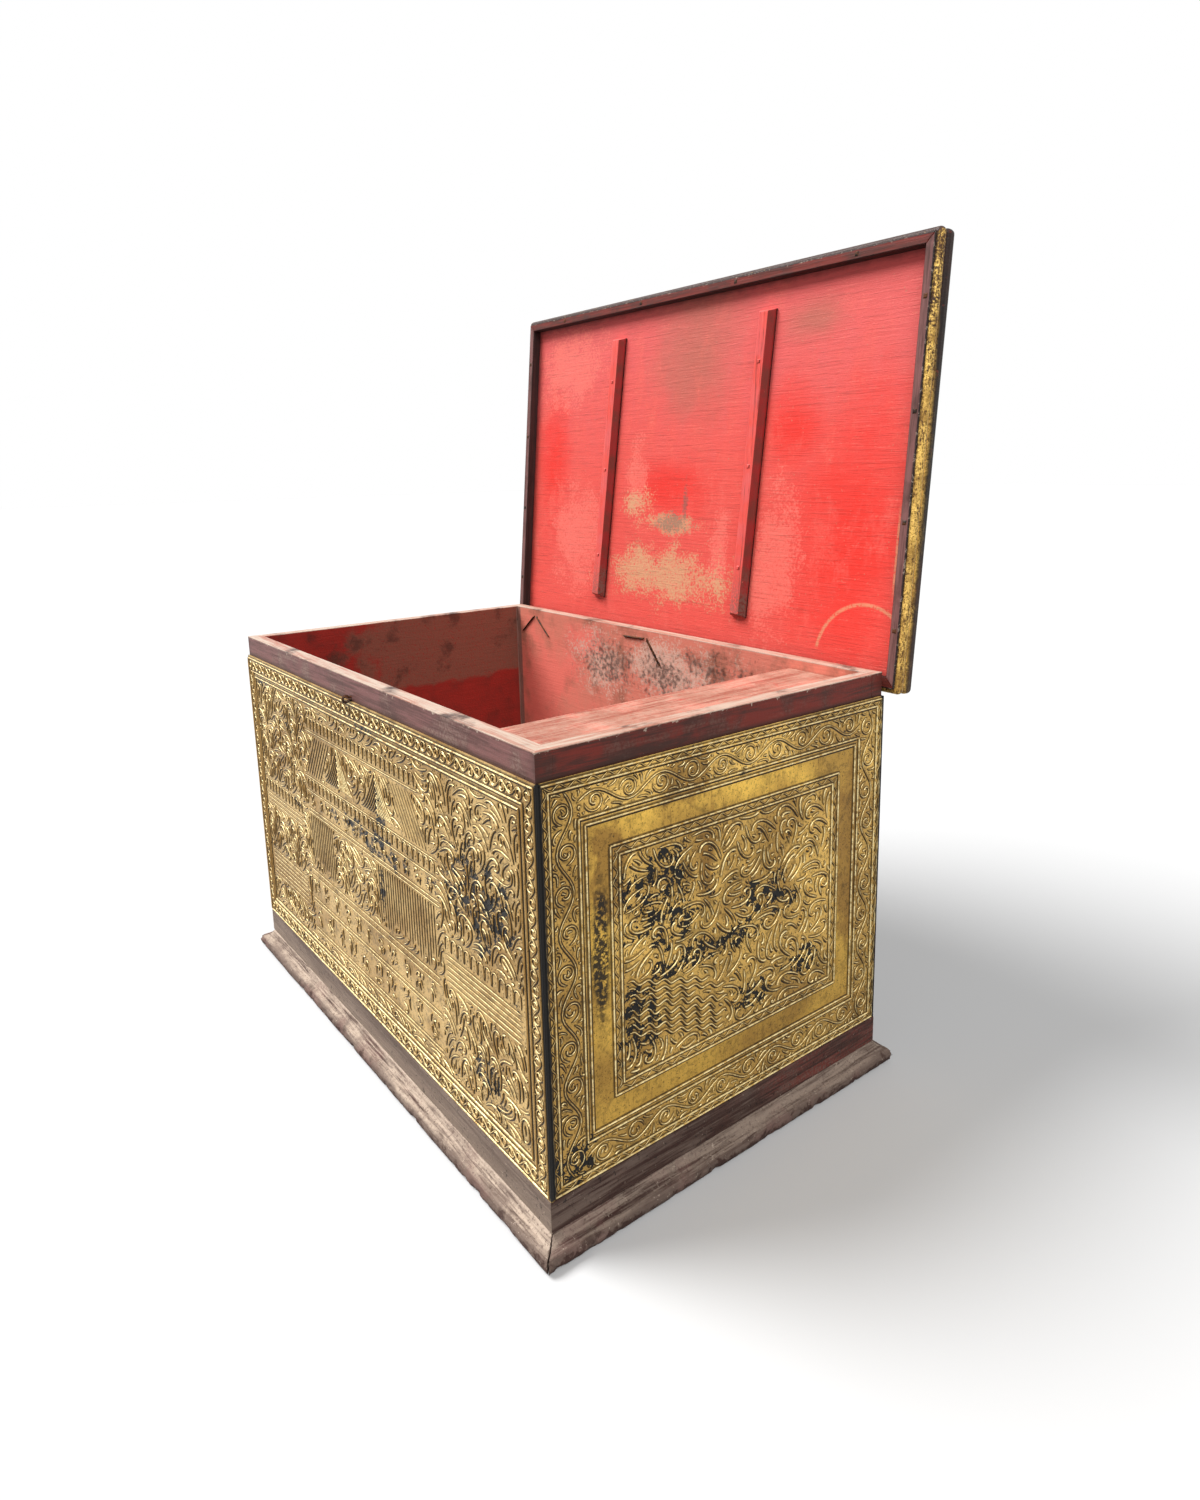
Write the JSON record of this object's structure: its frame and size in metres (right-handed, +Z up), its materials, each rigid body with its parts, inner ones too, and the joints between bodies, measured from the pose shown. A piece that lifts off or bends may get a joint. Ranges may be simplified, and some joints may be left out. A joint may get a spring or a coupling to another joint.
{
  "type": "lidded manuscript chest",
  "caption": "Rectangular lacquered chest for manuscripts, with gilded raised ornament outside, red inside, a moulded plinth, a small till at one end and a hinged rimmed lid.",
  "frame": {"origin": "on the floor under the middle of the carcase", "axes": "+X along the length to the right end, +Y to the back, +Z up; the lid stands open as pictured"},
  "size_m": [0.9648, 0.6704, 1.1481],
  "materials": {
    "gilt_lacquer": "worn gilding over raised black lacquer",
    "black_lacquer": "plain black lacquer",
    "brown_lacquer": "worn red-brown lacquer",
    "red_lacquer": "worn vermilion lacquer",
    "lid_lacquer": "faded vermilion lacquer inside, black lacquer outside",
    "plinth_lacquer": "dusty worn lacquer",
    "bare_wood": "bare wood",
    "iron": "dark rusted iron wire"
  },
  "bodies": {
    "chest": {"front_wall": "red_lacquer", "back_wall": "red_lacquer", "left_wall": "red_lacquer", "right_wall": "red_lacquer", "front_relief": "gilt_lacquer", "right_relief": "gilt_lacquer", "left_relief": "gilt_lacquer", "back_panel": "black_lacquer", "base_bearer": "bare_wood", "bottom_board_front": "red_lacquer", "bottom_board_back": "red_lacquer", "till_side": "red_lacquer", "till_bottom": "red_lacquer", "lock_staple": "iron", "bottom_nails": "iron", "plinth_nails": "iron", "base_band_front": "brown_lacquer", "plinth_front": "plinth_lacquer", "base_band_right": "brown_lacquer", "plinth_right": "plinth_lacquer", "base_band_back": "brown_lacquer", "plinth_back": "plinth_lacquer", "base_band_left": "brown_lacquer", "plinth_left": "plinth_lacquer", "hinge_staple_left": "iron", "hinge_staple_middle": "iron", "hinge_staple_right": "iron"},
    "lid": {"lid_board_front": "lid_lacquer", "lid_board_back": "lid_lacquer", "lid_batten_left": "lid_lacquer", "lid_batten_right": "lid_lacquer", "lid_rail_nails": "iron", "lid_batten_nails": "iron", "lid_rail_front": "brown_lacquer", "lid_bead_front": "gilt_lacquer", "lid_rail_right": "brown_lacquer", "lid_bead_right": "gilt_lacquer", "lid_rail_back": "brown_lacquer", "lid_bead_back": "gilt_lacquer", "lid_rail_left": "brown_lacquer", "lid_bead_left": "gilt_lacquer", "hinge_eye_left": "iron", "hinge_eye_middle": "iron", "hinge_eye_right": "iron"},
    "till_lid": {"till_lid": "brown_lacquer"}
  },
  "joints": [
    {"name": "lid_hinge", "type": "hinge", "parent": "chest", "child": "lid", "pos_m": [0, 0.2849, 0.5656], "axis": [1, 0, 0], "range_deg": [0, 95.3]},
    {"name": "till_lid_hinge", "type": "hinge", "parent": "chest", "child": "till_lid", "pos_m": [0.4298, 0, 0.559], "axis": [0, 1, 0], "range_deg": [0, 6]}
  ]
}
